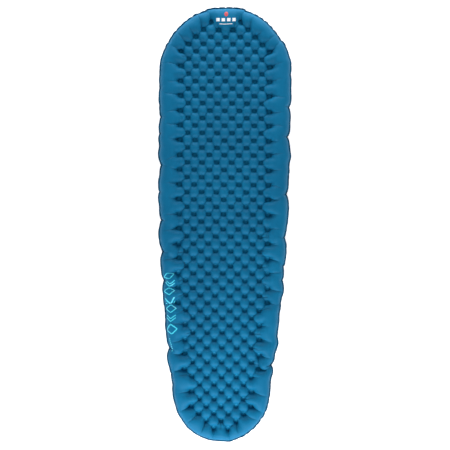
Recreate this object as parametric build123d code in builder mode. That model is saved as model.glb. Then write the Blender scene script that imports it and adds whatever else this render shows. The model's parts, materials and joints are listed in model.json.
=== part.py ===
from build123d import *
import math
import os

# Insulated, spot-welded inflatable sleeping pad, mummy plan, lying flat and inflated.
# Millimetres. X across the pad, +Y towards the head end, +Z up. Z = 0 is the ground.
# The origin is the centre of the pad's footprint on the ground.

# ---------------------------------------------------------------- overall sizes
LENGTH = 1830.0            # over the welded margins
THICK = 80.0               # inflated height
MID = THICK / 2            # plane of the perimeter weld and of the spot welds
HEAD_R = 275.0             # head end is a half circle of this radius
FOOT_R = 197.0             # foot end is an arc of this radius
SIDE = ((270.5, 104.0), (248.0, -317.0), (223.5, -553.0))   # the side passes these, in tangent arcs
MARGIN = 9.0               # width of the flat welded margin round the pad
FABRIC = 0.8               # modelled thickness of one coated sheet
EDGE_R = 38.0              # radius of the tube that runs round the edge

# ---------------------------------------------------------------- spot welds
PITCH_X = 62.4             # welds repeat at this pitch across, with one more in each centre
PITCH_Y = 62.1
ROW_0 = -453.1             # y of one row that has a weld on the centre line
WELD_R = 7.0               # flat fused disc
DIMPLE_R = 19.0            # mouth of each dimple at the outer face
DIMPLE_INNER_R = 7.9       # the same dimple measured on the inside of the fabric
DIMPLE_INNER_MOUTH_R = 19.9

# ---------------------------------------------------------------- insulating core
CORE_INSET = 34.0          # from the weld line to the edge of the core
BATT_T = 5.0
FILM_T = 0.4
FILM_GAP = 0.3             # air gap between batt and each film
CORE_HOLE_R = 16.0         # each layer is punched round every spot weld

# ---------------------------------------------------------------- valve
# Distances in the valve are (u, v, w): u across the pad, v down the slope, w out of the seat.
VALVE_TILT = 38.0          # degrees below the horizon that the valve faces
SEAT_DIST = 31.0           # from the centre of the edge tube to the seat
FABRIC_HOLE_R = 15.1
FLANGE_R, FLANGE_T = 21.0, 1.2
NECK_R, OUTLET_R = 15.0, 13.2     # base neck, and the big outlet for letting the air out fast
NECK_TOP, NECK_IN = 2.0, -9.0
RIM_R, RIM_LOW, RIM_TOP = 15.0, 2.3, 4.8
LIP_R, PORT_R, LIP_TOP = 10.4, 9.0, 7.8      # small outlet, for the pump
PORT_END = 0.0             # the pump nozzle stops at this shoulder
CHAMBER_R = 8.4
SPIDER_TOP, SPIDER_LOW = -4.0, -5.5
HINGE_V, HINGE_W, HINGE_R = -17.5, 3.0, 2.2  # collar hinge
HINGE_PIN_R = 0.75
CAP_HINGE_U, CAP_HINGE_W, CAP_HINGE_R = 14.0, 6.9, 1.7
CAP_PIN_R = 0.6
PIN_GAP = 0.05
CAP_R, CAP_IN_R, CAP_LOW, CAP_CEIL, CAP_TOP = 12.4, 10.8, 5.1, 8.1, 9.6
DISC_R = 8.6               # check diaphragm


def weld_points():
    """Centres of the spot welds. Rows of even columns and rows of odd columns alternate."""
    pts = []
    half = PITCH_X / 2
    for n in range(-6, 22):
        y = ROW_0 + PITCH_Y * n
        cols = [-2, 2] if n == 21 else [-2, 0, 2] if n == -6 else [-4, -2, 0, 2, 4]
        if 2 <= n <= 19:
            cols = [-6, -4, -2, 0, 2, 4, 6]
        pts += [(c * half, y) for c in cols]
    for m in range(-7, 21):
        y = ROW_0 + PITCH_Y * (m + 0.5)
        cols = [-1, 1] if m == -7 else [-3, -1, 1, 3]
        if -3 <= m <= 19:
            cols = [-5, -3, -1, 1, 3, 5]
        pts += [(c * half, y) for c in cols]
    return pts


WELDS = weld_points()
print("spot welds:", len(WELDS))


def foot_turn():
    """Lean of the side, in radians, where its last arc meets the foot arc tangentially."""
    lean, x, y = 0.0, HEAD_R, LENGTH / 2 - HEAD_R
    for px, py in SIDE:
        lean = 2 * math.atan2(x - px, y - py) - lean
        x, y = px, py
    low, high = 0.0, 0.6
    for _ in range(60):
        turn = (low + high) / 2
        fx, fy = FOOT_R * math.cos(turn), -LENGTH / 2 + FOOT_R - FOOT_R * math.sin(turn)
        if 2 * math.atan2(x - fx, y - fy) - lean > turn:
            low = turn
        else:
            high = turn
    return turn


def outline(inset):
    """Closed plan outline of the pad, moved in by inset: a chain of tangent arcs, mirrored."""
    turn = foot_turn()
    foot_y = -LENGTH / 2 + FOOT_R
    head_y = LENGTH / 2 - HEAD_R
    stops = SIDE + ((FOOT_R * math.cos(turn), foot_y - FOOT_R * math.sin(turn)),)
    with BuildSketch() as sk:
        with BuildLine():
            line = ThreePointArc(
                (0, head_y + HEAD_R), (HEAD_R * math.sin(math.pi / 4), head_y + HEAD_R * math.cos(math.pi / 4)),
                (HEAD_R, head_y),
            )
            for stop in stops:
                line = TangentArc(line @ 1, stop, tangent=line % 1)
            middle = (turn + math.pi / 2) / 2
            ThreePointArc(
                stops[-1], (FOOT_R * math.cos(middle), foot_y - FOOT_R * math.sin(middle)), (0, foot_y - FOOT_R)
            )
            mirror(about=Plane.YZ)
        make_face()
        if inset:
            offset(amount=-inset, mode=Mode.REPLACE)
    return sk.sketch


PLAN = outline(0)
SEAM = outline(MARGIN)
SEAM_IN = outline(MARGIN + FABRIC)
CORE = outline(MARGIN + CORE_INSET)

# plane of the valve's seat: its normal points out and down, at the head end
tilt = math.radians(VALVE_TILT)
tube_y = LENGTH / 2 - MARGIN - EDGE_R
seat_origin = Vector(0, tube_y + SEAT_DIST * math.cos(tilt), EDGE_R - SEAT_DIST * math.sin(tilt))
VALVE = Plane(origin=seat_origin, x_dir=(1, 0, 0), z_dir=(0, math.cos(tilt), -math.sin(tilt)))
UW = Plane(origin=seat_origin, x_dir=VALVE.x_dir, z_dir=VALVE.y_dir * -1)   # section across, (u, w)
VW = Plane(origin=seat_origin, x_dir=VALVE.y_dir, z_dir=VALVE.x_dir)        # section down the slope, (v, w)
VALVE_AXIS = Axis(seat_origin, VALVE.z_dir)
print("seat at", tuple(round(c, 3) for c in seat_origin), "faces", tuple(round(c, 5) for c in VALVE.z_dir))


# ---------------------------------------------------------------- upper sheet
# A shell over the air chamber: rounded along the edge, drawn down to the middle plane at
# every spot weld, with its half of the welded margin.
with BuildPart() as upper_room:
    with BuildSketch(Plane.XY.offset(MID)):
        add(SEAM_IN)
    extrude(amount=MID - FABRIC)
    fillet(upper_room.faces().sort_by(Axis.Z)[-1].edges(), EDGE_R - FABRIC)
    with Locations(*[(x, y, MID) for x, y in WELDS]):
        Cone(DIMPLE_INNER_R, DIMPLE_INNER_MOUTH_R, MID, align=(Align.CENTER, Align.CENTER, Align.MIN), mode=Mode.SUBTRACT)

with BuildPart() as top_sheet:
    with BuildSketch(Plane.XY.offset(MID)):
        add(SEAM)
    extrude(amount=MID)
    fillet(top_sheet.faces().sort_by(Axis.Z)[-1].edges(), EDGE_R)
    with Locations(*[(x, y, MID + FABRIC) for x, y in WELDS]):
        Cone(WELD_R, DIMPLE_R, MID - FABRIC, align=(Align.CENTER, Align.CENTER, Align.MIN), mode=Mode.SUBTRACT)
    add(upper_room.part, mode=Mode.SUBTRACT)
    with BuildSketch(Plane.XY.offset(MID)):
        add(PLAN)
        add(SEAM, mode=Mode.SUBTRACT)
    extrude(amount=FABRIC)
top_sheet.part.label = "top_sheet"

# ---------------------------------------------------------------- lower sheet
# The same sheet the other way up, with a flat seat and a hole for the valve.
with BuildPart() as lower_block:
    with BuildSketch(Plane.XY.offset(MID)):
        add(SEAM)
    extrude(amount=-MID)
    fillet(lower_block.faces().sort_by(Axis.Z)[0].edges(), EDGE_R)

with BuildPart() as seat_patch:
    with BuildSketch(VALVE.offset(-FABRIC)):
        Rectangle(260, 60)
    extrude(amount=FABRIC)
    add(lower_block.part, mode=Mode.INTERSECT)

lower_shell = mirror(top_sheet.part, about=Plane.XY.offset(MID))
with BuildPart() as bottom_sheet:
    add(lower_shell)
    with BuildSketch(VALVE):
        Rectangle(260, 46)
    extrude(amount=40, mode=Mode.SUBTRACT)
    add(seat_patch.part)
    with BuildSketch(VALVE.offset(-4 * FABRIC)):
        Circle(FABRIC_HOLE_R)
    extrude(amount=6 * FABRIC, mode=Mode.SUBTRACT)
bottom_sheet.part.label = "bottom_sheet"

# ---------------------------------------------------------------- insulation
def layer(low, thick):
    with BuildPart() as slab:
        with BuildSketch(Plane.XY.offset(low)):
            add(CORE)
            with Locations(*WELDS):
                Circle(CORE_HOLE_R, mode=Mode.SUBTRACT)
        extrude(amount=thick)
    return slab


fibre_batt = layer(MID - BATT_T / 2, BATT_T)
fibre_batt.part.label = "fibre_batt"
upper_film = layer(MID + BATT_T / 2 + FILM_GAP, FILM_T)
upper_film.part.label = "upper_film"
lower_film = layer(MID - BATT_T / 2 - FILM_GAP - FILM_T, FILM_T)
lower_film.part.label = "lower_film"

# ---------------------------------------------------------------- valve base
# Welded flange inside the lower sheet, neck through it, two ears for the collar's hinge.
with BuildPart() as valve_base:
    with BuildSketch(UW):
        with BuildLine():
            Polyline(
                (OUTLET_R, NECK_IN), (NECK_R, NECK_IN), (NECK_R, -FABRIC - FLANGE_T), (FLANGE_R, -FABRIC - FLANGE_T),
                (FLANGE_R, -FABRIC), (NECK_R, -FABRIC), (NECK_R, NECK_TOP), (OUTLET_R, NECK_TOP), close=True,
            )
        make_face()
    revolve(axis=VALVE_AXIS)
    for start in (5.0, -7.6):
        with BuildSketch(VW.offset(start)):
            with Locations((HINGE_V, HINGE_W)):
                Circle(HINGE_R)
            Polygon(
                (HINGE_V - HINGE_R, HINGE_W), (HINGE_V - HINGE_R, 0.3), (-12.5, 0.3), (-12.5, NECK_TOP),
                (-15.6, NECK_TOP), (HINGE_V + HINGE_R, HINGE_W), align=None,
            )
            with Locations((HINGE_V, HINGE_W)):
                Circle(HINGE_PIN_R + PIN_GAP, mode=Mode.SUBTRACT)
        extrude(amount=2.6)
valve_base.part.label = "valve_base"

with BuildPart() as collar_pin:
    with BuildSketch(VW.offset(-8.2)):
        with Locations((HINGE_V, HINGE_W)):
            Circle(HINGE_PIN_R)
    extrude(amount=16.4)
    chamfer(collar_pin.edges().filter_by(GeomType.CIRCLE), 0.2)
collar_pin.part.label = "collar_pin"

# ---------------------------------------------------------------- valve collar
# Hinged plug in the big outlet. It holds the pump port, and the spider that the diaphragm shuts.
with BuildPart() as valve_collar:
    with BuildSketch(UW):
        with BuildLine():
            Polyline(
                (0, SPIDER_LOW), (9.2, SPIDER_LOW), (9.2, -7.5), (11.3, -7.5), (13.0, 1.6), (13.0, RIM_LOW),
                (RIM_R, RIM_LOW), (RIM_R, RIM_TOP), (LIP_R, RIM_TOP), (LIP_R, LIP_TOP), (PORT_R, LIP_TOP),
                (PORT_R, PORT_END), (CHAMBER_R, PORT_END), (CHAMBER_R, SPIDER_TOP), (0, SPIDER_TOP), close=True,
            )
        make_face()
    revolve(axis=VALVE_AXIS)
    with BuildSketch(VALVE.offset(SPIDER_LOW)):
        Circle(7.4)
        Circle(3.6, mode=Mode.SUBTRACT)
        with PolarLocations(0, 3):
            Rectangle(20, 1.5, mode=Mode.SUBTRACT)
        Circle(1.8)
    extrude(amount=SPIDER_TOP - SPIDER_LOW, mode=Mode.SUBTRACT)
    with BuildSketch(VALVE.offset(3.3)):
        with Locations((0, 15.5)):
            RectangleRounded(10, 6, 2)
    extrude(amount=RIM_TOP - 3.3)
    with BuildSketch(VALVE.offset(3.7)):
        with Locations((14.6, 0)):
            Rectangle(3.4, 6.4)
    extrude(amount=3, mode=Mode.SUBTRACT)
    with BuildSketch(VW.offset(-4.7)):
        with Locations((HINGE_V, HINGE_W)):
            Circle(HINGE_R)
        Polygon(
            (HINGE_V, HINGE_W + HINGE_R), (HINGE_V, 2.4), (-14.0, 2.4), (-14.0, RIM_TOP), align=None,
        )
        with Locations((HINGE_V, HINGE_W)):
            Circle(HINGE_PIN_R + PIN_GAP, mode=Mode.SUBTRACT)
    extrude(amount=9.4)
    for start in (3.3, -5.3):
        with BuildSketch(UW.offset(start)):
            with Locations((CAP_HINGE_U, CAP_HINGE_W)):
                Circle(CAP_HINGE_R)
            Polygon(
                (CAP_HINGE_U - CAP_HINGE_R, CAP_HINGE_W), (CAP_HINGE_U - CAP_HINGE_R, 4.0), (14.2, 4.0),
                (CAP_HINGE_U + CAP_HINGE_R, CAP_HINGE_W), align=None,
            )
            with Locations((CAP_HINGE_U, CAP_HINGE_W)):
                Circle(CAP_PIN_R + PIN_GAP, mode=Mode.SUBTRACT)
        extrude(amount=2.0)
    with BuildSketch(VALVE.offset(RIM_LOW)):
        Circle(14.7)
        Circle(13.3, mode=Mode.SUBTRACT)
    extrude(amount=0.8, mode=Mode.SUBTRACT)
valve_collar.part.label = "valve_collar"

with BuildPart() as collar_seal:
    with BuildSketch(VALVE.offset(NECK_TOP + 0.05)):
        Circle(14.6)
        Circle(13.4, mode=Mode.SUBTRACT)
    extrude(amount=RIM_LOW + 0.8 - NECK_TOP - 0.05)
collar_seal.part.label = "collar_seal"

# ---------------------------------------------------------------- check valve
with BuildPart() as check_diaphragm:
    with BuildSketch(UW):
        with BuildLine():
            Polyline(
                (0, -6.3), (DISC_R, -6.15), (DISC_R, -5.8), (DISC_R - 0.4, -5.55), (1.5, -5.55), (1.5, -2.0), (0, -2.0),
                close=True,
            )
        make_face()
    revolve(axis=VALVE_AXIS)
check_diaphragm.part.label = "check_diaphragm"

with BuildPart() as diaphragm_button:
    with BuildSketch(UW):
        with BuildLine():
            Polyline((0, -2.0), (3.0, -2.0), (3.0, -1.4), (2.5, -0.9), (0, -0.9), close=True)
        make_face()
    revolve(axis=VALVE_AXIS)
diaphragm_button.part.label = "diaphragm_button"

# ---------------------------------------------------------------- cap
# It closes over the lip of the port. Its skirt is open beside the hinge.
with BuildPart() as valve_cap:
    with BuildSketch(UW):
        with BuildLine():
            Polyline(
                (0, CAP_CEIL), (9.1, CAP_CEIL), (9.1, 8.5), (10.4, 8.5), (10.4, CAP_CEIL), (CAP_IN_R, CAP_CEIL),
                (CAP_IN_R, CAP_LOW), (CAP_R, CAP_LOW), (CAP_R, 9.0), (CAP_R - 0.6, CAP_TOP), (0, CAP_TOP), close=True,
            )
        make_face()
    revolve(axis=VALVE_AXIS)
    with BuildSketch(VALVE.offset(CAP_LOW - 0.5)):
        with Locations((11.5, 0)):
            Rectangle(7, 13)
    extrude(amount=CAP_CEIL - CAP_LOW + 0.5, mode=Mode.SUBTRACT)
    with BuildSketch(VALVE.offset(CAP_CEIL)):
        with Locations((-13.5, 0)):
            RectangleRounded(6, 9, 2)
    extrude(amount=CAP_TOP - CAP_CEIL - 0.2)
    with BuildSketch(VALVE.offset(CAP_TOP - 0.5)):
        with GridLocations(0, 2.6, 1, 5):
            RectangleRounded(9 , 1.2, 0.5)
    extrude(amount=0.5, mode=Mode.SUBTRACT)
    with BuildSketch(UW.offset(-2.9)):
        with Locations((CAP_HINGE_U, CAP_HINGE_W)):
            Circle(CAP_HINGE_R)
        Polygon(
            (11.4, CAP_CEIL), (11.4, 9.4), (13.0, 9.3), (CAP_HINGE_U + 1.3, CAP_HINGE_W + 1.0), (CAP_HINGE_U, CAP_HINGE_W),
            (12.6, CAP_HINGE_W + 0.9), align=None,
        )
        with Locations((CAP_HINGE_U, CAP_HINGE_W)):
            Circle(CAP_PIN_R + PIN_GAP, mode=Mode.SUBTRACT)
    extrude(amount=5.8)
valve_cap.part.label = "valve_cap"

with BuildPart() as cap_seal:
    with BuildSketch(VALVE.offset(LIP_TOP + 0.05)):
        Circle(10.3)
        Circle(9.2, mode=Mode.SUBTRACT)
    extrude(amount=8.5 - LIP_TOP - 0.05)
cap_seal.part.label = "cap_seal"

with BuildPart() as cap_pin:
    with BuildSketch(UW.offset(-5.8)):
        with Locations((CAP_HINGE_U, CAP_HINGE_W)):
            Circle(CAP_PIN_R)
    extrude(amount=11.6)
    chamfer(cap_pin.edges().filter_by(GeomType.CIRCLE), 0.15)
cap_pin.part.label = "cap_pin"

# ---------------------------------------------------------------- write the parts
os.makedirs("parts", exist_ok=True)
for piece in (
    top_sheet, bottom_sheet, fibre_batt, upper_film, lower_film, valve_base, collar_pin, valve_collar, collar_seal,
    check_diaphragm, diaphragm_button, valve_cap, cap_seal, cap_pin,
):
    name = piece.part.label
    print(name, round(piece.part.volume, 1), len(piece.part.solids()), piece.part.is_valid)
    export_step(piece.part, f"parts/{name}.step")

for name, at, way in (
    ("collar hinge", VW.offset(0).from_local_coords((HINGE_V, HINGE_W, 0)), VALVE.x_dir),
    ("cap hinge", UW.from_local_coords((CAP_HINGE_U, CAP_HINGE_W, 0)), VALVE.y_dir),
    ("port mouth", VALVE.from_local_coords((0, 0, LIP_TOP)), VALVE.z_dir),
):
    print(name, tuple(round(c, 4) for c in at), tuple(round(c, 6) for c in way))
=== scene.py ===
import json
import math
import bmesh
import bpy
import numpy as np
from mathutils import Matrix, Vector
from mathutils.bvhtree import BVHTree
from mathutils.geometry import convex_hull_2d, delaunay_2d_cdt
from mathutils.kdtree import KDTree


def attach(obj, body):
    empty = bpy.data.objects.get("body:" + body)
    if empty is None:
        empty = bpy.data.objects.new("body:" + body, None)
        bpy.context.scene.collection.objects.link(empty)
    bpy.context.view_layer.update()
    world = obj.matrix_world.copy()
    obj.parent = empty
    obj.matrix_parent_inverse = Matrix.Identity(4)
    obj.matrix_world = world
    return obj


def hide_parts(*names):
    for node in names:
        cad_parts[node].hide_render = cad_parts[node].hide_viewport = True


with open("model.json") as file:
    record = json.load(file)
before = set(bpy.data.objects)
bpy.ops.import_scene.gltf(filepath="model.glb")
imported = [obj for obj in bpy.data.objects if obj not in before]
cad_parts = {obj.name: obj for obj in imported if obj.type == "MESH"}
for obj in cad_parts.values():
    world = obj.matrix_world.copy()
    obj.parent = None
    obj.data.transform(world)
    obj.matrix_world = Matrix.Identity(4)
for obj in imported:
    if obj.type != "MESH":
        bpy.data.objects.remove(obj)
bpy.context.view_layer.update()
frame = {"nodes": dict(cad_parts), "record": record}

MM = 0.001

# ------------------------------------------------------------------ sizes, in millimetres
MID = 40.0                 # height of the perimeter weld and of the spot welds
MARGIN = 9.0               # width of the welded margin
PITCH_X, PITCH_Y, ROW_0 = 62.4, 62.1, -453.1
WELD_R = 8.3
STEP_X, STEP_Y = PITCH_X / 12, PITCH_Y / 12
RINGS = (9.0, 14.2, 19.4)
TUBE_W = 79.0              # from the outer spot welds to the perimeter weld
TUBE_FLAT = 120.0          # the same on the flat blank
SPARE = 1.36               # flat blank over inflated plan, among the spot welds
SPARE_EDGE = 1.05         # the same along the edge

# where the margin is drawn in between two lobes: x, y, how much cloth is gathered, how wide
NOTCHES = (
    (-262, 759, 30, 9), (262, 749, 28, 9), (-62, 897, 22, 8), (60, 897, 22, 8),
    (-110, 880, 14, 7), (113, 876, 14, 7), (-165, 838, 11, 7), (160, 840, 11, 7), (-215, 795, 10, 7), (212, 796, 10, 7),
    (-266, 690, 10, 6), (266, 680, 10, 6), (-266, 610, 12, 6), (266, 605, 12, 6),
    (-266, 529, 20, 8), (266, 527, 20, 8), (-266, 407, 18, 7), (266, 405, 18, 7), (-266, 299, 24, 8), (266, 285, 22, 8),
    (-264, 162, 18, 7), (266, 165, 12, 6), (264, 67, 24, 8), (-262, 60, 10, 6), (-260, -44, 24, 8), (262, -124, 24, 8),
    (-256, -162, 22, 8), (258, -264, 20, 8), (-248, -318, 22, 8), (252, -331, 15, 7), (-243, -430, 12, 7),
    (247, -420, 10, 6), (244, -510, 24, 8), (-236, -571, 30, 9), (232, -626, 20, 8), (-225, -660, 12, 7),
    (-205, -735, 20, 8), (212, -757, 18, 8), (-175, -815, 9, 7), (175, -820, 9, 7), (-140, -857, 12, 7), (140, -857, 12, 7),
    (-62, -893, 14, 7), (62, -893, 14, 7), (0, -906, 9, 7),
)


def spot_welds():
    pts = []
    half = PITCH_X / 2
    for n in range(-6, 22):
        y = ROW_0 + PITCH_Y * n
        cols = [-2, 2] if n == 21 else [-2, 0, 2] if n == -6 else [-4, -2, 0, 2, 4]
        if 2 <= n <= 19:
            cols = [-6, -4, -2, 0, 2, 4, 6]
        pts += [(c * half, y) for c in cols]
    for m in range(-7, 21):
        y = ROW_0 + PITCH_Y * (m + 0.5)
        cols = [-1, 1] if m == -7 else [-3, -1, 1, 3]
        if -3 <= m <= 19:
            cols = [-5, -3, -1, 1, 3, 5]
        pts += [(c * half, y) for c in cols]
    return np.array(pts)


def resample(poly, spacing):
    closed = np.vstack([poly, poly[:1]])
    run = np.concatenate([[0], np.cumsum(np.hypot(*np.diff(closed, axis=0).T))])
    count = int(round(run[-1] / spacing))
    at = np.arange(count) * run[-1] / count
    return np.column_stack([np.interp(at, run, closed[:, k]) for k in (0, 1)])


def outward(poly, times):
    t = np.roll(poly, -1, 0) - np.roll(poly, 1, 0)
    n = np.column_stack([t[:, 1], -t[:, 0]])
    if np.sum(n * (poly - poly.mean(0))) < 0:
        n = -n
    for _ in range(times):
        n = (np.roll(n, 1, 0) + 2 * n + np.roll(n, -1, 0)) / 4
    return n / np.hypot(*n.T)[:, None]


def ease(a, b, v):
    t = np.clip((v - a) / (b - a), 0, 1)
    return t * t * (3 - 2 * t)


# ------------------------------------------------------------------ the sheet, blown up between its welds
# Half of the pad, above the plane of the welds. Cloth can't stretch past its flat length, is free to
# gather, is held at the spot welds, and stays in the weld plane along the margin.
class Sheet:
    def __init__(self, outline, seed):
        self.rng = np.random.default_rng(seed)
        fine = resample(outline, 1.0)
        nf = outward(fine, 60)
        tree = KDTree(len(fine))
        for i, (x, y) in enumerate(fine):
            tree.insert((x, y, 0), i)
        tree.balance()
        ring = resample(outline, 5.2)
        nr = outward(ring, 6)
        self.ring = len(ring)
        pts = [ring - nr * d for d in RINGS]
        dist = [np.full(len(ring), d) for d in RINGS]
        nrm = [nr for _ in RINGS]
        kind = [np.full(len(ring), k) for k in range(len(RINGS))]
        gx, gy = np.meshgrid(np.arange(-54, 55) * STEP_X, ROW_0 + np.arange(-100, 270) * STEP_Y)
        grid = np.column_stack([gx.ravel(), gy.ravel()])
        grid = grid[(grid > outline.min(0)).all(1) & (grid < outline.max(0)).all(1)]
        keep, gd, gn = [], [], []
        for i, (x, y) in enumerate(grid):
            _, j, d = tree.find((x, y, 0))
            if d > RINGS[-1] + 3.4 and (grid[i] - fine[j]) @ nf[j] < 0:
                keep.append(i)
                gd.append(d)
                gn.append(nf[j])
        self.plan = np.vstack(pts + [grid[keep]])
        self.dist = np.concatenate(dist + [np.array(gd)])
        self.nrm = np.vstack(nrm + [np.array(gn)])
        self.kind = np.concatenate(kind + [np.full(len(keep), 9)])
        out = delaunay_2d_cdt([Vector(p) for p in self.plan], [], [], 0, 1e-6)
        back = np.array([o[0] for o in out[3]])
        tris = back[np.array([f for f in out[2] if len(f) == 3])]
        a, b, c = (self.plan[tris[:, k]] for k in range(3))
        area = (b[:, 0] - a[:, 0]) * (c[:, 1] - a[:, 1]) - (b[:, 1] - a[:, 1]) * (c[:, 0] - a[:, 0])
        tris[area < 0] = tris[area < 0][:, ::-1]
        self.tris = t = tris[np.abs(area) > 0.3]
        ends = np.concatenate([t[:, [0, 1]], t[:, [1, 2]], t[:, [2, 0]]])
        over = np.concatenate([t[:, 2], t[:, 0], t[:, 1]])
        key = np.sort(ends, 1)
        order = np.lexsort((key[:, 1], key[:, 0]))
        key, over = key[order], over[order]
        same = (key[1:] == key[:-1]).all(1)
        self.edges = key[np.concatenate([[True], ~same])]
        self.cross = np.column_stack([over[:-1][same], over[1:][same]])
        self.welds = spot_welds()
        self.weld_of = np.full(len(self.plan), -1)
        for w, c in enumerate(self.welds):
            arm = self.plan - c
            r = np.hypot(*arm.T)
            self.weld_of[r < 7.6] = w
            near = (r < 20.8) & (r > 1)
            new = np.where(r < 7.6, WELD_R, np.interp(r, (7.6, 10.4, 14.7, 20.8), (8.6, 12.0, 15.3, 20.8)))
            self.plan[near] = c + arm[near] * (new[near] / r[near])[:, None]

    def average(self, val):
        i, j, cnt = self._near
        if val.ndim == 1:
            return np.bincount(i, val[j], len(cnt)) / cnt
        return np.column_stack([np.bincount(i, val[j, k], len(cnt)) / cnt for k in range(val.shape[1])])

    def batches(self, pairs, rest):
        used = [0] * len(self.plan)
        groups = {}
        for i, (a, b) in enumerate(pairs.tolist()):
            free = ~(used[a] | used[b])
            bit = free & -free
            used[a] |= bit
            used[b] |= bit
            groups.setdefault(bit, []).append(i)
        return [(pairs[g, 0], pairs[g, 1], rest[g][:, None]) for g in (np.array(v) for _, v in sorted(groups.items()))]

    def rest_lengths(self, pairs):
        a, b = pairs[:, 0], pairs[:, 1]
        step = self.plan[b] - self.plan[a]
        n = self.nrm[a] + self.nrm[b]
        n /= np.maximum(np.hypot(*n.T), 1e-9)[:, None]
        dn = (step * n).sum(1)
        dt = step[:, 0] * -n[:, 1] + step[:, 1] * n[:, 0]
        d = (self.dist[a] + self.dist[b]) / 2
        inner = ease(MARGIN + TUBE_W - 14, MARGIN + TUBE_W + 6, d)
        across = TUBE_FLAT / TUBE_W * (1 - inner) + SPARE * inner
        along = SPARE_EDGE + (SPARE - SPARE_EDGE) * ease(58, MARGIN + TUBE_W + 4, d)
        mid = (self.plan[a] + self.plan[b]) / 2
        for x, y, much, wide in NOTCHES:
            g = np.exp(-((mid[:, 0] - x) * -self._side(x, y)[1] + (mid[:, 1] - y) * self._side(x, y)[0]) ** 2 / (2 * wide ** 2))
            near = np.hypot(mid[:, 0] - x, mid[:, 1] - y) < 105
            along = along + np.where(near, g, 0) * (much / (2.507 * wide)) * (1 - ease(70, 100, d))
        return np.sqrt((across * dn) ** 2 + (along * dt) ** 2)

    def _side(self, x, y):
        c = min(max(y, -718.0), 640.0)
        v = np.array([x, y - c]) if not -718 < y < 640 else np.array([math.copysign(1, x), 0.0])
        return v / np.hypot(*v)

    def inflate(self, steps, push=0.5):
        n = len(self.plan)
        e = self.edges
        i, j = np.concatenate([e[:, 0], e[:, 1]]), np.concatenate([e[:, 1], e[:, 0]])
        self._near = (i, j, np.bincount(i, minlength=n))
        pairs = np.vstack([self.edges, self.cross])
        rest = self.rest_lengths(pairs)
        patch = self.rng.normal(size=n)
        for _ in range(12):
            patch = self.average(patch)
        patch /= patch.std()
        rest *= 1 + 0.012 * (patch[pairs[:, 0]] + patch[pairs[:, 1]]) / 2
        batches = self.batches(pairs, rest)
        on = self.weld_of >= 0
        free = (~on).astype(float)[:, None]
        x = np.column_stack([self.plan, np.zeros(n)])
        jig = self.rng.normal(scale=0.7, size=(len(self.welds), 2))
        x[on, :2] += jig[self.weld_of[on]]
        seam = self.kind == 0
        x[:, 2] = np.where(on | seam, 0, np.clip(self.dist - MARGIN, 0, 30) * 0.5 + self.rng.uniform(0, 1, n))
        v = np.zeros_like(x)
        t = self.tris
        for step in range(steps):
            a, b, c = x[t[:, 0]], x[t[:, 1]], x[t[:, 2]]
            cr = np.cross(b - a, c - a)
            force = np.column_stack([np.bincount(t.ravel(), np.repeat(cr[:, k], 3), n) for k in range(3)])
            old = x.copy()
            x = x + (v * 0.94 + force * ((push if step < steps * 0.8 else push * 0.6) / 160.0)) * free
            for _ in range(3):
                for i, j, r in batches:
                    dx = x[j] - x[i]
                    ln = np.sqrt((dx * dx).sum(1))[:, None] + 1e-9
                    wi, wj = free[i], free[j]
                    s = np.maximum(ln - r, 0) / ln / np.maximum(wi + wj, 1e-9) * 0.95
                    s = s * dx
                    x[i] += s * wi
                    x[j] -= s * wj
                x[seam, 2] = 0
            x[:, 2] = np.maximum(x[:, 2], 0)
            if step % 2 == 0:
                x += (self.average(x) - x) * 0.035 * free
                x[seam, 2] = 0
            v = x - old
            v *= np.minimum(1, 3.0 / (np.sqrt((v * v).sum(1)) + 1e-9))[:, None]
        self.x = x


node = frame["nodes"]["top_sheet"]
plan = np.array([(v.co.x, v.co.y) for v in node.data.vertices]) / MM
hull = plan[convex_hull_2d([Vector(p) for p in plan])]
sheet = Sheet(hull, 7)
sheet.inflate(200)
print("inflated", sheet.x.min(0).round(1), sheet.x.max(0).round(1))

# ------------------------------------------------------------------ materials
def new_material(name):
    m = bpy.data.materials.new(name)
    m.use_nodes = True
    nt = m.node_tree
    return m, nt, nt.nodes["Principled BSDF"]


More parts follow.
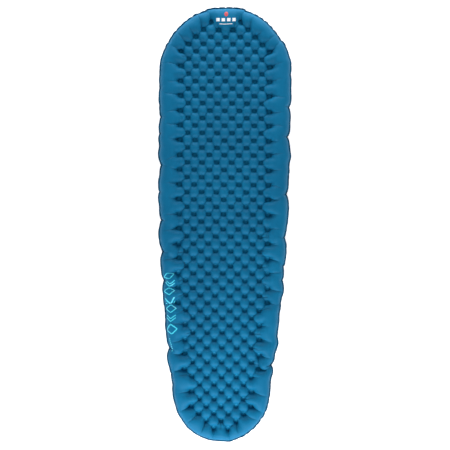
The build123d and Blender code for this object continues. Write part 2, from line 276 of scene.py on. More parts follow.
def fabric(name, colour, dark, rough, ribs=False):
    m, nt, bsdf = new_material(name)
    L = nt.links.new
    tex = nt.nodes.new("ShaderNodeTexCoord")
    # slow shade drift over the cloth
    drift = nt.nodes.new("ShaderNodeTexNoise")
    drift.inputs["Scale"].default_value = 6.0
    drift.inputs["Detail"].default_value = 3.0
    L(tex.outputs["Object"], drift.inputs["Vector"])
    ramp = nt.nodes.new("ShaderNodeValToRGB")
    ramp.color_ramp.elements[0].position = 0.3
    ramp.color_ramp.elements[0].color = (*dark, 1)
    ramp.color_ramp.elements[1].position = 0.7
    ramp.color_ramp.elements[1].color = (*colour, 1)
    L(drift.outputs["Fac"], ramp.inputs["Fac"])
    L(ramp.outputs["Color"], bsdf.inputs["Base Color"])
    bsdf.inputs["Roughness"].default_value = rough
    bsdf.inputs["Specular IOR Level"].default_value = 0.11
    bsdf.inputs["Sheen Weight"].default_value = 0.02
    bsdf.inputs["Sheen Roughness"].default_value = 0.4
    # plain weave from the blank's own coordinates, and faint crumpling of the coating
    uv = nt.nodes.new("ShaderNodeUVMap")
    uv.uv_map = "cloth"
    weave = nt.nodes.new("ShaderNodeTexWave")
    weave.inputs["Scale"].default_value = 190.0
    weave.bands_direction = "X"
    L(uv.outputs["UV"], weave.inputs["Vector"])
    weft = nt.nodes.new("ShaderNodeTexWave")
    weft.inputs["Scale"].default_value = 190.0
    weft.bands_direction = "Y"
    L(uv.outputs["UV"], weft.inputs["Vector"])
    both = nt.nodes.new("ShaderNodeMath")
    both.operation = "MULTIPLY"
    L(weave.outputs["Fac"], both.inputs[0])
    L(weft.outputs["Fac"], both.inputs[1])
    crumple = nt.nodes.new("ShaderNodeTexNoise")
    crumple.inputs["Scale"].default_value = 55.0
    crumple.inputs["Detail"].default_value = 5.0
    L(tex.outputs["Object"], crumple.inputs["Vector"])
    b1 = nt.nodes.new("ShaderNodeBump")
    b1.inputs["Strength"].default_value = 0.25
    b1.inputs["Distance"].default_value = 0.0012
    L(crumple.outputs["Fac"], b1.inputs["Height"])
    b2 = nt.nodes.new("ShaderNodeBump")
    b2.inputs["Strength"].default_value = 0.25
    b2.inputs["Distance"].default_value = 0.0002
    L(both.outputs["Value"], b2.inputs["Height"])
    L(b1.outputs["Normal"], b2.inputs["Normal"])
    L(b2.outputs["Normal"], bsdf.inputs["Normal"])
    return m


BLUE = (0.001, 0.132, 0.270)
BLUE_DEEP = (0.001, 0.113, 0.238)
# dark navy for the margin only: painted shade
NAVY_PAINTED_SHADE = (0.003, 0.055, 0.115)
cloth = fabric("coated_fabric_blue", BLUE, BLUE_DEEP, 0.58)
cloth_under = fabric("coated_fabric_under", (0.004, 0.085, 0.180), (0.004, 0.070, 0.150), 0.5)
# the weld discs are painted lighter than the cloth: painted light standing in for light reaching the pits, since their
# cloth is the same blue
weld_mat_painted_light = fabric("welded_disc_painted_light", (0.004, 0.240, 0.460), (0.004, 0.210, 0.410), 0.40)
# the welded margin is painted dark navy: painted shade on a strip whose cloth is the same blue as the rest
margin_mat_painted_shade = fabric("welded_margin", (0.003, 0.085, 0.175), NAVY_PAINTED_SHADE, 0.42)


def weld_highlight_and_ribs(m, axis, edges, spacing):
    """A pressed weld: a painted highlight line where it starts, and fine ribs along it."""
    nt = m.node_tree
    L = nt.links.new
    bsdf = nt.nodes["Principled BSDF"]
    uv = nt.nodes.new("ShaderNodeUVMap")
    uv.uv_map = "cloth"
    part = nt.nodes.new("ShaderNodeSeparateXYZ")
    L(uv.outputs["UV"], part.inputs["Vector"])
    line = nt.nodes.new("ShaderNodeValToRGB")
    span = nt.nodes.new("ShaderNodeMapRange")
    span.inputs["From Max"].default_value = 9 * MM
    L(part.outputs[axis], span.inputs["Value"])
    L(span.outputs["Result"], line.inputs["Fac"])
    els = line.color_ramp.elements
    els[0].position, els[0].color = edges[0], (1, 1, 1, 1)
    els[1].position, els[1].color = edges[1], (0, 0, 0, 1)
    was = bsdf.inputs["Base Color"].links[0].from_socket
    # painted highlight: a light blue line along the inner edge of the margin, where the cloth leaves the weld
    mix = nt.nodes.new("ShaderNodeMix")
    mix.data_type = "RGBA"
    L(line.outputs["Color"], mix.inputs["Factor"])
    L(was, mix.inputs[6])
    mix.inputs[7].default_value = (0.06, 0.30, 0.46, 1)
    L(mix.outputs[2], bsdf.inputs["Base Color"])
    ribs = nt.nodes.new("ShaderNodeTexWave")
    ribs.inputs["Scale"].default_value = 2 * math.pi / (20 * spacing * MM)
    ribs.inputs["Distortion"].default_value = 0.6
    ribs.bands_direction = "X"
    L(uv.outputs["UV"], ribs.inputs["Vector"])
    bump = nt.nodes.new("ShaderNodeBump")
    bump.inputs["Strength"].default_value = 0.7
    bump.inputs["Distance"].default_value = 0.0005
    L(ribs.outputs["Fac"], bump.inputs["Height"])
    L(bsdf.inputs["Normal"].links[0].from_socket, bump.inputs["Normal"])
    L(bump.outputs["Normal"], bsdf.inputs["Normal"])


weld_highlight_and_ribs(margin_mat_painted_shade, "Y", (0.14, 0.20), 4.0)


def folds(m):
    """Fine folds: between neighbouring spot welds, and fanning from the outer ones towards the edge. They are bumps,
    and also painted shade: the colour darkens in the folds and in a ring on the wall round each spot weld.
    """
    nt = m.node_tree
    L = nt.links.new
    bsdf = nt.nodes["Principled BSDF"]

    def math_node(op, a, b=None):
        n = nt.nodes.new("ShaderNodeMath")
        n.operation = op
        for k, v in enumerate((a, b)):
            if v is None:
                continue
            if isinstance(v, (int, float)):
                n.inputs[k].default_value = v
            else:
                L(v, n.inputs[k])
        return n.outputs["Value"]

    def step(v, a, b, lo, hi):
        n = nt.nodes.new("ShaderNodeMapRange")
        n.interpolation_type = "SMOOTHSTEP"
        for name, val in (("From Min", a), ("From Max", b), ("To Min", lo), ("To Max", hi)):
            n.inputs[name].default_value = val
        L(v, n.inputs["Value"])
        return n.outputs["Result"]

    def pair(name):
        uv = nt.nodes.new("ShaderNodeUVMap")
        uv.uv_map = name
        sep = nt.nodes.new("ShaderNodeSeparateXYZ")
        L(uv.outputs["UV"], sep.inputs["Vector"])
        return sep.outputs["X"], sep.outputs["Y"]

    tex = nt.nodes.new("ShaderNodeTexCoord")
    stray = nt.nodes.new("ShaderNodeTexNoise")
    stray.inputs["Scale"].default_value = 38.0
    stray.inputs["Detail"].default_value = 2.0
    L(tex.outputs["Object"], stray.inputs["Vector"])
    wander = math_node("SUBTRACT", stray.outputs["Fac"], 0.5)
    a, b = pair("lattice")
    core, _ = pair("core")
    near_a = math_node("PINGPONG", math_node("ADD", a, math_node("MULTIPLY", wander, 0.07)), 0.5)
    near_b = math_node("PINGPONG", math_node("ADD", b, math_node("MULTIPLY", wander, -0.07)), 0.5)
    line = math_node("MAXIMUM", step(near_a, 0.0, 0.045, 1.0, 0.0), step(near_b, 0.0, 0.045, 1.0, 0.0))
    line = math_node("MULTIPLY", line, core)
    true_a, true_b = math_node("PINGPONG", a, 0.5), math_node("PINGPONG", b, 0.5)
    r = math_node("SQRT", math_node("ADD", math_node("MULTIPLY", true_a, true_a), math_node("MULTIPLY", true_b, true_b)))
    r = math_node("MULTIPLY", r, 44.02)
    # a ring on the wall round each spot weld, used for painted shade
    wall = math_node("MULTIPLY", step(r, 7.6, 9.4, 0.0, 1.0), step(r, 10.5, 19.0, 1.0, 0.0))
    wall = math_node("MULTIPLY", wall, core)
    off, along = pair("crease")
    off = math_node("ABSOLUTE", math_node("ADD", off, math_node("MULTIPLY", wander, 0.012)))
    fan = math_node("MULTIPLY", step(along, 0.04, 0.2, 0.0, 1.0), step(along, 0.35, 1.0, 1.0, 0.0))
    radial = math_node("MULTIPLY", step(off, 0.0, 0.0026, 1.0, 0.0), fan)
    both = math_node("MAXIMUM", math_node("MULTIPLY", line, 0.75), radial)
    soft = math_node("MULTIPLY", step(off, 0.0, 0.009, 1.0, 0.0), fan)
    depth = math_node("ADD", both, math_node("MULTIPLY", soft, 1.6))
    bump = nt.nodes.new("ShaderNodeBump")
    bump.invert = True
    bump.inputs["Strength"].default_value = 0.9
    bump.inputs["Distance"].default_value = 0.0016
    L(depth, bump.inputs["Height"])
    L(bsdf.inputs["Normal"].links[0].from_socket, bump.inputs["Normal"])
    L(bump.outputs["Normal"], bsdf.inputs["Normal"])
    # painted shade: the base colour darkens towards deep blue along the folds and on the walls round the welds
    mix = nt.nodes.new("ShaderNodeMix")
    mix.data_type = "RGBA"
    painted_shade = math_node("MAXIMUM", math_node("MULTIPLY", both, 0.50), math_node("MULTIPLY", wall, 0.10))
    L(painted_shade, mix.inputs["Factor"])
    L(bsdf.inputs["Base Color"].links[0].from_socket, mix.inputs[6])
    mix.inputs[7].default_value = (0.002, 0.036, 0.085, 1)
    L(mix.outputs[2], bsdf.inputs["Base Color"])


folds(cloth)
folds(cloth_under)


# ------------------------------------------------------------------ meshes
def make(name, verts, faces, mats, index=None, uv=None):
    me = bpy.data.meshes.new(name)
    me.from_pydata((np.asarray(verts) * MM).tolist(), [], faces.tolist() if hasattr(faces, "tolist") else faces)
    for m in mats:
        me.materials.append(m)
    if index is not None:
        me.polygons.foreach_set("material_index", np.asarray(index, dtype=np.int32))
    if uv is not None:
        layer = me.uv_layers.new(name="cloth")
        loops = np.zeros(len(me.loops), dtype=np.int32)
        me.loops.foreach_get("vertex_index", loops)
        layer.data.foreach_set("uv", (np.asarray(uv)[loops] * MM).ravel())
    me.shade_smooth()
    me.update()
    o = bpy.data.objects.new(name, me)
    bpy.context.collection.objects.link(o)
    return o


x, t, kind = sheet.x, sheet.tris, sheet.kind
flat_from, flat_to = 31.0, 39.3
over = np.maximum(x[:, 2] - flat_from, 0)
x[:, 2] = np.minimum(x[:, 2], flat_from) + (flat_to - flat_from) * (1 - np.exp(-over / (flat_to - flat_from)))
disc_face = (sheet.weld_of[t] >= 0).all(1)
top = x + [0, 0, MID + 0.3]
upper = make("upper_fabric", top, t, [cloth, weld_mat_painted_light], disc_face.astype(int), sheet.plan * 1.3)
low = x * [1, 1, -1] + [0, 0, MID - 0.3]
lower = make("lower_fabric", low, t[:, ::-1], [cloth_under, weld_mat_painted_light], disc_face.astype(int), sheet.plan * 1.3)

# where the folds run, for the materials: each face measures from one fold, so the lines stay sharp
lattice = np.column_stack([sheet.plan[:, 0] / (PITCH_X / 2) + (sheet.plan[:, 1] - ROW_0) / (PITCH_Y / 2),
                           sheet.plan[:, 0] / (PITCH_X / 2) - (sheet.plan[:, 1] - ROW_0) / (PITCH_Y / 2)]) / 2 + 40
core = np.column_stack([ease(MARGIN + TUBE_W - 10, MARGIN + TUBE_W + 4, sheet.dist), np.zeros(len(x))])
dice = np.random.default_rng(11)
fans = []
hull_fine = resample(hull, 2.0)
hull_out = outward(hull_fine, 40)
for w in sheet.welds:
    gap = np.hypot(*(hull_fine - w).T)
    j = int(gap.argmin())
    if gap[j] < 112:
        for turn, reach in ((dice.normal(0, 7), dice.uniform(42, 70)), (dice.choice([-1, 1]) * dice.uniform(22, 40), dice.uniform(14, 32))):
            a = math.radians(turn)
            n = hull_out[j]
            fans.append((w[0], w[1], n[0] * math.cos(a) - n[1] * math.sin(a), n[0] * math.sin(a) + n[1] * math.cos(a), reach))
fans = np.array(fans)
mid = sheet.plan[t].mean(1)
rel = mid[:, None, :] - fans[None, :, :2]
aside = np.abs(rel[:, :, 0] * -fans[:, 3] + rel[:, :, 1] * fans[:, 2])
onward = rel[:, :, 0] * fans[:, 2] + rel[:, :, 1] * fans[:, 3]
cost = aside + np.where((onward > -4) & (onward < fans[:, 4] + 6), 0, 1e4)
pick = fans[cost.argmin(1)]
corner = sheet.plan[t] - pick[:, None, :2]
crease = np.stack([(corner[:, :, 0] * -pick[:, None, 3] + corner[:, :, 1] * pick[:, None, 2]) * MM,
                   (corner[:, :, 0] * pick[:, None, 2] + corner[:, :, 1] * pick[:, None, 3]) / pick[:, None, 4]], 2)
for o, flip in ((upper, False), (lower, True)):
    me = o.data
    loops = np.zeros(len(me.loops), dtype=np.int32)
    me.loops.foreach_get("vertex_index", loops)
    me.uv_layers.new(name="lattice").data.foreach_set("uv", lattice[loops].ravel())
    me.uv_layers.new(name="core").data.foreach_set("uv", core[loops].ravel())
    mine = (crease[:, ::-1] if flip else crease).reshape(-1, 2)
    me.uv_layers.new(name="crease").data.foreach_set("uv", mine.ravel())

# the lower sheet lies flat on the valve's flange, and the neck comes out through a round hole
port = next(m for m in frame["record"]["mounts"] if m["name"] == "inflation_port")
out_w = Vector(port["axis"]).normalized()
seat = Vector(port["pos_m"]) - out_w * 7.8 * MM
across_u = Vector((1, 0, 0))
down_v = out_w.cross(across_u)
bm = bmesh.new()
bm.from_mesh(lower.data)


def seat_uvw(p):
    rel = (p - seat) / MM
    return rel.dot(across_u), rel.dot(down_v), rel.dot(out_w)


near = [e for e in bm.edges if all(abs(c[2]) < 25 and math.hypot(c[0], c[1]) < 34 for c in (seat_uvw(v.co) for v in e.verts))]
bmesh.ops.subdivide_edges(bm, edges=near, cuts=1, use_grid_fill=True)
bmesh.ops.triangulate(bm, faces=[f for f in bm.faces if len(f.verts) > 3])
HOLE = 15.3
for v in bm.verts:
    u, d, w = seat_uvw(v.co)
    if abs(w) > 30 or math.hypot(u, d) > 90:
        continue
    q = math.hypot(u / 44, d / 25)
    k = 1 - float(ease(0.80, 1.45, q))
    if k <= 0:
        continue
    r = math.hypot(u, d)
    level = -0.15 if r < 21.4 else -0.15 - 0.45 * float(ease(21.4, 22.6, r))
    v.co += out_w * ((level - w) * k * MM)
inside = {}
for v in bm.verts:
    u, d, w = seat_uvw(v.co)
    inside[v] = math.hypot(u, d) < HOLE and abs(w) < 2
for v in list(inside):
    if inside[v] and any(not inside[e.other_vert(v)] for e in v.link_edges):
        u, d, w = seat_uvw(v.co)
        r = max(math.hypot(u, d), 1e-6)
        v.co += (across_u * (u / r) + down_v * (d / r)) * ((HOLE - r) * MM)
gone = []
for f in bm.faces:
    c = [seat_uvw(v.co) for v in f.verts]
    if all(math.hypot(p[0], p[1]) < HOLE + 0.02 and abs(p[2]) < 2 for p in c):
        gone.append(f)
bmesh.ops.delete(bm, geom=gone, context="FACES")
bm.to_mesh(lower.data)
bm.free()
lower.data.update()
nt = cloth_under.node_tree
bsdf = nt.nodes["Principled BSDF"]
tex = nt.nodes.new("ShaderNodeTexCoord")
apart = nt.nodes.new("ShaderNodeVectorMath")
apart.operation = "DISTANCE"
nt.links.new(tex.outputs["Object"], apart.inputs[0])
apart.inputs[1].default_value = seat
reach = nt.nodes.new("ShaderNodeMapRange")
reach.inputs["From Min"].default_value = 20.6 * MM
reach.inputs["From Max"].default_value = 21.2 * MM
reach.inputs["To Min"].default_value = 1.0
reach.inputs["To Max"].default_value = 0.0
nt.links.new(apart.outputs["Value"], reach.inputs["Value"])
mix = nt.nodes.new("ShaderNodeMix")
mix.data_type = "RGBA"
nt.links.new(reach.outputs["Result"], mix.inputs["Factor"])
nt.links.new(bsdf.inputs["Base Color"].links[0].from_socket, mix.inputs[6])
mix.inputs[7].default_value = (0.006, 0.125, 0.245, 1)
nt.links.new(mix.outputs[2], bsdf.inputs["Base Color"])

# the welded margin: both plies as one thin strip that ripples
ring = sheet.ring
seam = x[:ring].copy()
flow = seam.copy()
for _ in range(5):
    flow = (np.roll(flow, 1, 0) + 2 * flow + np.roll(flow, -1, 0)) / 4
tang = np.roll(flow, -1, 0) - np.roll(flow, 1, 0)
away = np.column_stack([tang[:, 1], -tang[:, 0]])
away /= np.hypot(*away.T)[:, None]
if np.sum(away * flow[:, :2]) < 0:
    away = -away
s = np.arange(ring) / ring
rng = np.random.default_rng(3)
ripple = sum(rng.uniform(0.5, 1) * np.sin(2 * math.pi * (f * s + rng.uniform())) for f in (131, 149, 163, 178, 97, 71)) / 3
swell = sum(rng.uniform(0.5, 1) * np.sin(2 * math.pi * (f * s + rng.uniform())) for f in (61, 83, 119, 140)) / 3
# small scallops: round the head, on the right of the foot, and faint ones elsewhere
run = np.concatenate([[0], np.cumsum(np.hypot(*np.diff(seam[:, :2], axis=0).T))])
bend = run / 29.0 + 0.35 * np.sin(run / 171.0) + 0.2 * np.sin(run / 73.0)
scallop = np.abs(np.sin(math.pi * bend)) ** 0.6
where = np.maximum(ease(700, 790, seam[:, 1]), ease(690, 740, -seam[:, 1]) * ease(-20, 60, seam[:, 0]))
where = np.maximum(where, 0.22)
# over the valve the margin turns up, clear of the open lid and cap
over_valve = ease(-95, -55, -np.abs(seam[:, 0])) * ease(820, 860, seam[:, 1])
strip = []
for k, (out, gain) in enumerate(((0.0, 0.0), (3.2, 0.5), (6.4, 1.0))):
    p = seam.copy()
    wide = out * (1 + 0.10 * swell + where * (0.45 * scallop - 0.30))
    p[:, :2] += away * wide[:, None]
    lift = ripple * 2.4 + where * (scallop - 0.6) * 3.0
    p[:, 2] += (lift * (1 - 0.6 * over_valve) + 4.2 * over_valve) * gain
    strip.append(p)
verts, faces, uvs = [], [], []
for side in (0.45, -0.45):
    for k in range(3):
        verts.append(strip[k] + [0, 0, MID + side])
        uvs.append(np.column_stack([s * ring * 5.2, np.full(ring, k * 4.5)]))
verts = np.vstack(verts)
uvs = np.vstack(uvs)
for i in range(ring):
    j = (i + 1) % ring
    for k in range(2):
        a, b = k * ring, (k + 1) * ring
        faces.append((a + i, a + j, b + j, b + i))
        faces.append((a + i + 3 * ring, b + i + 3 * ring, b + j + 3 * ring, a + j + 3 * ring))
    faces.append((2 * ring + i, 2 * ring + j, 5 * ring + j, 5 * ring + i))
    faces.append((i, 3 * ring + i, 3 * ring + j, j))
margin = make("welded_margin", verts, faces, [margin_mat_painted_shade], None, uvs)

# printed marks: generic shapes, thin films of ink that follow the cloth
INK = 0.35
flat_tree = BVHTree.FromPolygons([(p[0], p[1], 0.0) for p in sheet.plan], t.tolist())
fan = np.zeros_like(top)
cr = np.cross(top[t[:, 1]] - top[t[:, 0]], top[t[:, 2]] - top[t[:, 0]])
for k in range(3):
    fan[:, k] = np.bincount(t.ravel(), np.repeat(cr[:, k], 3), len(top))
fan /= np.linalg.norm(fan, axis=1)[:, None]


def on_cloth(px, py, lift=INK):
    """The point of the upper sheet that the blank's point (px, py) came to, lifted by the ink."""
    _, _, f, _ = flat_tree.ray_cast(Vector((px, py, 50)), Vector((0, 0, -1)))
    if f is None:
        f = flat_tree.find_nearest(Vector((px, py, 0)))[2]
    a, b, c = (sheet.plan[k] for k in t[f])
    m = np.array([b - a, c - a]).T
    g, h = np.linalg.solve(m, np.array([px, py]) - a)
    wts = (1 - g - h, g, h)
    return sum(wt * top[k] for wt, k in zip(wts, t[f])) + lift * sum(wt * fan[k] for wt, k in zip(wts, t[f]))


def ink_strokes(name, strokes, mat, place):
    """Ribbons of even width along polylines; place() turns a drawing point into a blank point."""
    vs, fs = [], []
    for pts, wide, closed in strokes:
        pts = np.array(pts, float)
        if closed:
            pts = np.vstack([pts, pts[:1]])
        run = np.concatenate([[0], np.cumsum(np.hypot(*np.diff(pts, axis=0).T))])
        n = max(2, int(run[-1] / 2.2) + 1)
        at = np.linspace(0, run[-1], n)
        q = np.column_stack([np.interp(at, run, pts[:, k]) for k in (0, 1)])
        if closed:
            q = q[:-1]
            tg = np.roll(q, -1, 0) - np.roll(q, 1, 0)
        else:
            tg = np.gradient(q, axis=0)
        tg /= np.maximum(np.hypot(*tg.T), 1e-9)[:, None]
        nm = np.column_stack([-tg[:, 1], tg[:, 0]])
        base = len(vs)
        for c, m in zip(q, nm):
            for side in (-0.5, 0.0, 0.5):
                vs.append(on_cloth(*place(c + m * wide * side)))
        count = len(q)
        for i in range(count if closed else count - 1):
            j = (i + 1) % count
            for k in (0, 1):
                fs.append((base + 3 * i + k, base + 3 * i + k + 1, base + 3 * j + k + 1, base + 3 * j + k))
    o = make(name, vs, fs, [mat])
    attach(o, "root")
    return o


def ink(name, colour, worn):
    m, nt, bsdf = new_material(name)
    tex = nt.nodes.new("ShaderNodeTexCoord")
    noise = nt.nodes.new("ShaderNodeTexNoise")
    noise.inputs["Scale"].default_value = 240.0
    noise.inputs["Detail"].default_value = 4.0
    nt.links.new(tex.outputs["Object"], noise.inputs["Vector"])
    ramp = nt.nodes.new("ShaderNodeValToRGB")
    ramp.color_ramp.elements[0].position = 0.30
    ramp.color_ramp.elements[0].color = (*worn, 1)
    ramp.color_ramp.elements[1].position = 0.46
    ramp.color_ramp.elements[1].color = (*colour, 1)
    nt.links.new(noise.outputs["Fac"], ramp.inputs["Fac"])
    nt.links.new(ramp.outputs["Color"], bsdf.inputs["Base Color"])
    bsdf.inputs["Roughness"].default_value = 0.45
    bump = nt.nodes.new("ShaderNodeBump")
    bump.inputs["Strength"].default_value = 0.2
    bump.inputs["Distance"].default_value = 0.0002
    nt.links.new(noise.outputs["Fac"], bump.inputs["Height"])
    nt.links.new(bump.outputs["Normal"], bsdf.inputs["Normal"])
    return m


edge_line = resample(hull, 1.0)
edge_out = outward(edge_line, 60)
left = np.where(edge_line[:, 0] < -100)[0]
left = left[np.argsort(-edge_line[left, 1])]
line_y = edge_line[left, 1]


def by_left_edge(p):
    """A drawing's point (y on the left edge, then in from the edge) as a point of the blank."""
    i = left[int(np.clip(np.searchsorted(-line_y, -p[0]), 0, len(left) - 1))]
    q = edge_line[i] - edge_out[i] * p[1]
    return q[0], q[1]


def rounded(cx, cy, w, h, corner, n=5):
    pts = []
    for sx, sy, a0 in ((1, 1, 0), (-1, 1, 90), (-1, -1, 180), (1, -1, 270)):
        for a in np.linspace(a0, a0 + 90, n):
            pts.append((cx + sx * (w / 2 - corner) + corner * math.cos(math.radians(a)),
                        cy + sy * (h / 2 - corner) + corner * math.sin(math.radians(a))))
    return pts


side_marks = []
y = -196.0
for k, kind_of in enumerate("dcdcdcd"):
    if kind_of == "d":
        side_marks.append(([(y, 33), (y - 15, 17), (y - 30, 33), (y - 15, 49)], 3.4, True))
        y -= 40
    else:
        side_marks.append(([(y, 19), (y - 15, 33), (y, 47)], 3.4, False))
        side_marks.append(([(y - 11, 19), (y - 26, 33), (y - 11, 47)], 3.4, False))
        y -= 36
for k in range(9):
    side_marks.append(([(y - 6 - k * 8.5, 24), (y - 11 - k * 8.5, 24)], 3.0, False))
teal_ink = ink("turquoise_ink", (0.04, 0.56, 0.74), (0.02, 0.40, 0.58))
side_print = ink_strokes("side_print", side_marks, teal_ink, by_left_edge)

white_ink = ink("white_ink", (0.80, 0.82, 0.84), (0.55, 0.62, 0.68))
red_ink = ink("red_ink", (0.55, 0.05, 0.05), (0.35, 0.05, 0.06))
HEAD_Y = 858.0
head_marks = [([(xx - 6.5, HEAD_Y), (xx + 6.5, HEAD_Y)], 9.0, False) for xx in (-31, -10.5, 10.5, 31)]
head_marks.append(([(-26, HEAD_Y - 12), (26, HEAD_Y - 12)], 2.2, False))
head_print = ink_strokes("head_print", head_marks, white_ink, lambda p: (p[0], p[1]))
head_dot = ink_strokes("head_dot", [(rounded(0, HEAD_Y + 16, 8.5, 8.5, 4.2), 5.5, True)], red_ink, lambda p: (p[0], p[1]))

for o, slot in ((upper, "coated_fabric"), (lower, "coated_fabric"), (margin, "coated_fabric")):
    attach(o, "root")
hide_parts("top_sheet")
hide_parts("bottom_sheet")

# ------------------------------------------------------------------ finishes of the CAD pieces
def plastic(name, colour, rough, grain, depth):
    m, nt, bsdf = new_material(name)
    tex = nt.nodes.new("ShaderNodeTexCoord")
    fine = nt.nodes.new("ShaderNodeTexNoise")
    fine.inputs["Scale"].default_value = grain
    fine.inputs["Detail"].default_value = 5.0
    nt.links.new(tex.outputs["Object"], fine.inputs["Vector"])
    ramp = nt.nodes.new("ShaderNodeValToRGB")
    ramp.color_ramp.elements[0].position = 0.35
    ramp.color_ramp.elements[0].color = (*[c * 0.82 for c in colour], 1)
    ramp.color_ramp.elements[1].position = 0.65
    ramp.color_ramp.elements[1].color = (*[min(1, c * 1.12) for c in colour], 1)
    nt.links.new(fine.outputs["Fac"], ramp.inputs["Fac"])
    nt.links.new(ramp.outputs["Color"], bsdf.inputs["Base Color"])
    worn = nt.nodes.new("ShaderNodeMapRange")
    worn.inputs["To Min"].default_value = rough - 0.06
    worn.inputs["To Max"].default_value = rough + 0.08
    nt.links.new(fine.outputs["Fac"], worn.inputs["Value"])
    nt.links.new(worn.outputs["Result"], bsdf.inputs["Roughness"])
    bump = nt.nodes.new("ShaderNodeBump")
    bump.inputs["Strength"].default_value = 0.3
    bump.inputs["Distance"].default_value = depth
    nt.links.new(fine.outputs["Fac"], bump.inputs["Height"])
    nt.links.new(bump.outputs["Normal"], bsdf.inputs["Normal"])
    return m


def film():
    m, nt, bsdf = new_material("metallised_film")
    bsdf.inputs["Metallic"].default_value = 0.9
    tex = nt.nodes.new("ShaderNodeTexCoord")
    vor = nt.nodes.new("ShaderNodeTexVoronoi")
    vor.inputs["Scale"].default_value = 60.0
    nt.links.new(tex.outputs["Object"], vor.inputs["Vector"])
    ramp = nt.nodes.new("ShaderNodeValToRGB")
    ramp.color_ramp.elements[0].color = (0.62, 0.63, 0.66, 1)
    ramp.color_ramp.elements[1].color = (0.80, 0.81, 0.83, 1)
    nt.links.new(vor.outputs["Distance"], ramp.inputs["Fac"])
    nt.links.new(ramp.outputs["Color"], bsdf.inputs["Base Color"])
    bsdf.inputs["Roughness"].default_value = 0.28
    bump = nt.nodes.new("ShaderNodeBump")
    bump.inputs["Strength"].default_value = 0.5
    bump.inputs["Distance"].default_value = 0.001
    nt.links.new(vor.outputs["Distance"], bump.inputs["Height"])
    nt.links.new(bump.outputs["Normal"], bsdf.inputs["Normal"])
    return m


def batting():
    m, nt, bsdf = new_material("fibre_batting")
    tex = nt.nodes.new("ShaderNodeTexCoord")
    n = nt.nodes.new("ShaderNodeTexNoise")
    n.inputs["Scale"].default_value = 320.0
    n.inputs["Detail"].default_value = 8.0
    n.inputs["Distortion"].default_value = 2.0
    nt.links.new(tex.outputs["Object"], n.inputs["Vector"])
    ramp = nt.nodes.new("ShaderNodeValToRGB")
    ramp.color_ramp.elements[0].color = (0.55, 0.55, 0.53, 1)
    ramp.color_ramp.elements[1].color = (0.90, 0.90, 0.88, 1)
    nt.links.new(n.outputs["Fac"], ramp.inputs["Fac"])
    nt.links.new(ramp.outputs["Color"], bsdf.inputs["Base Color"])
    bsdf.inputs["Roughness"].default_value = 0.95
    bump = nt.nodes.new("ShaderNodeBump")
    bump.inputs["Strength"].default_value = 0.8
    bump.inputs["Distance"].default_value = 0.001
    nt.links.new(n.outputs["Fac"], bump.inputs["Height"])
    nt.links.new(bump.outputs["Normal"], bsdf.inputs["Normal"])
    return m


finish = {
    "valve_base": plastic("moulded_base", (0.035, 0.075, 0.11), 0.46, 900, 0.00015),
    "valve_collar": plastic("moulded_collar", (0.030, 0.034, 0.040), 0.42, 1200, 0.00012),
    "valve_cap": plastic("moulded_cap", (0.035, 0.040, 0.047), 0.38, 1200, 0.00012),
    "diaphragm_button": plastic("moulded_button", (0.04, 0.30, 0.42), 0.40, 1400, 0.0001),
    "collar_seal": plastic("silicone_seal", (0.42, 0.44, 0.45), 0.35, 700, 0.0001),
    "cap_seal": plastic("silicone_cap_seal", (0.42, 0.44, 0.45), 0.35, 700, 0.0001),
    "check_diaphragm": plastic("silicone_diaphragm", (0.50, 0.52, 0.53), 0.33, 600, 0.0001),
    "collar_pin": plastic("collar_pin_nylon", (0.02, 0.02, 0.022), 0.35, 1500, 0.0001),
    "cap_pin": plastic("cap_pin_nylon", (0.02, 0.02, 0.022), 0.35, 1500, 0.0001),
    "fibre_batt": batting(),
    "upper_film": film(),
    "lower_film": film(),
}
for name, mat in finish.items():
    o = frame["nodes"][name]
    if not o.material_slots:
        o.data.materials.append(mat)
    for sl in o.material_slots:
        sl.material = mat

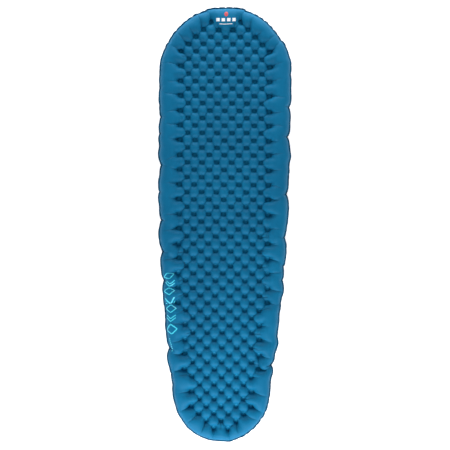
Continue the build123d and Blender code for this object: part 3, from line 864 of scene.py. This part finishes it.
# ------------------------------------------------------------------ floor, light, camera
FAR, TALL, AROUND = 14.0, 6.0, 96
turn = [2 * math.pi * k / AROUND for k in range(AROUND)]
foot = [(FAR * math.cos(a), FAR * math.sin(a), 0) for a in turn]
floor = bpy.data.meshes.new("floor")
floor.from_pydata(foot, [], [tuple(range(AROUND))])
floor = bpy.data.objects.new("floor", floor)
wall = bpy.data.meshes.new("backdrop")
wall.from_pydata(foot + [(px, py, TALL) for px, py, _ in foot], [], [(k, (k + 1) % AROUND, AROUND + (k + 1) % AROUND, AROUND + k) for k in range(AROUND)])
wall = bpy.data.objects.new("backdrop", wall)
bpy.context.collection.objects.link(wall)
bpy.context.collection.objects.link(floor)
fm, nt, bsdf = new_material("floor")
bsdf.inputs["Base Color"].default_value = (0.92, 0.92, 0.92, 1)
bsdf.inputs["Emission Color"].default_value = (1, 1, 1, 1)
bsdf.inputs["Emission Strength"].default_value = 0.55
bsdf.inputs["Roughness"].default_value = 0.9
bsdf.inputs["Specular IOR Level"].default_value = 0.1
floor.data.materials.append(fm)
wm, nt, bsdf = new_material("backdrop")
bsdf.inputs["Base Color"].default_value = (0.9, 0.9, 0.9, 1)
bsdf.inputs["Roughness"].default_value = 1.0
bsdf.inputs["Emission Color"].default_value = (1, 1, 1, 1)
bsdf.inputs["Emission Strength"].default_value = 0.45
wall.data.materials.append(wm)


def area(name, loc, aim, size, watts):
    l = bpy.data.lights.new(name, "AREA")
    l.shape = "RECTANGLE"
    l.size, l.size_y = size
    l.energy = watts
    o = bpy.data.objects.new(name, l)
    o.location = loc
    o.rotation_euler = (Vector(aim) - Vector(loc)).to_track_quat("-Z", "Y").to_euler()
    bpy.context.collection.objects.link(o)
    return o


area("head_light", (0.0, 2.0, 0.62), (0, 0.2, 0), (2.0, 0.5), 34)
area("foot_light", (0.0, -2.1, 1.15), (0, -0.3, 0), (2.2, 0.8), 64)
world = bpy.data.worlds.new("world")
world.use_nodes = True
world.node_tree.nodes["Background"].inputs["Color"].default_value = (1, 1, 1, 1)
world.node_tree.nodes["Background"].inputs["Strength"].default_value = 0.37
bpy.context.scene.world = world
bpy.context.scene.view_settings.view_transform = "Standard"

cam = bpy.data.cameras.new("camera")
cam_o = bpy.data.objects.new("camera", cam)
bpy.context.collection.objects.link(cam_o)
HIGH = 4.0
cam_o.location = (0.0067, -0.0021, HIGH + MID * MM)
cam_o.rotation_euler = (0, 0, 0.0121)
cam.sensor_width = 36.0
cam.angle = 2 * math.atan(0.94885 / HIGH)
cam.clip_end = 50
bpy.context.scene.camera = cam_o
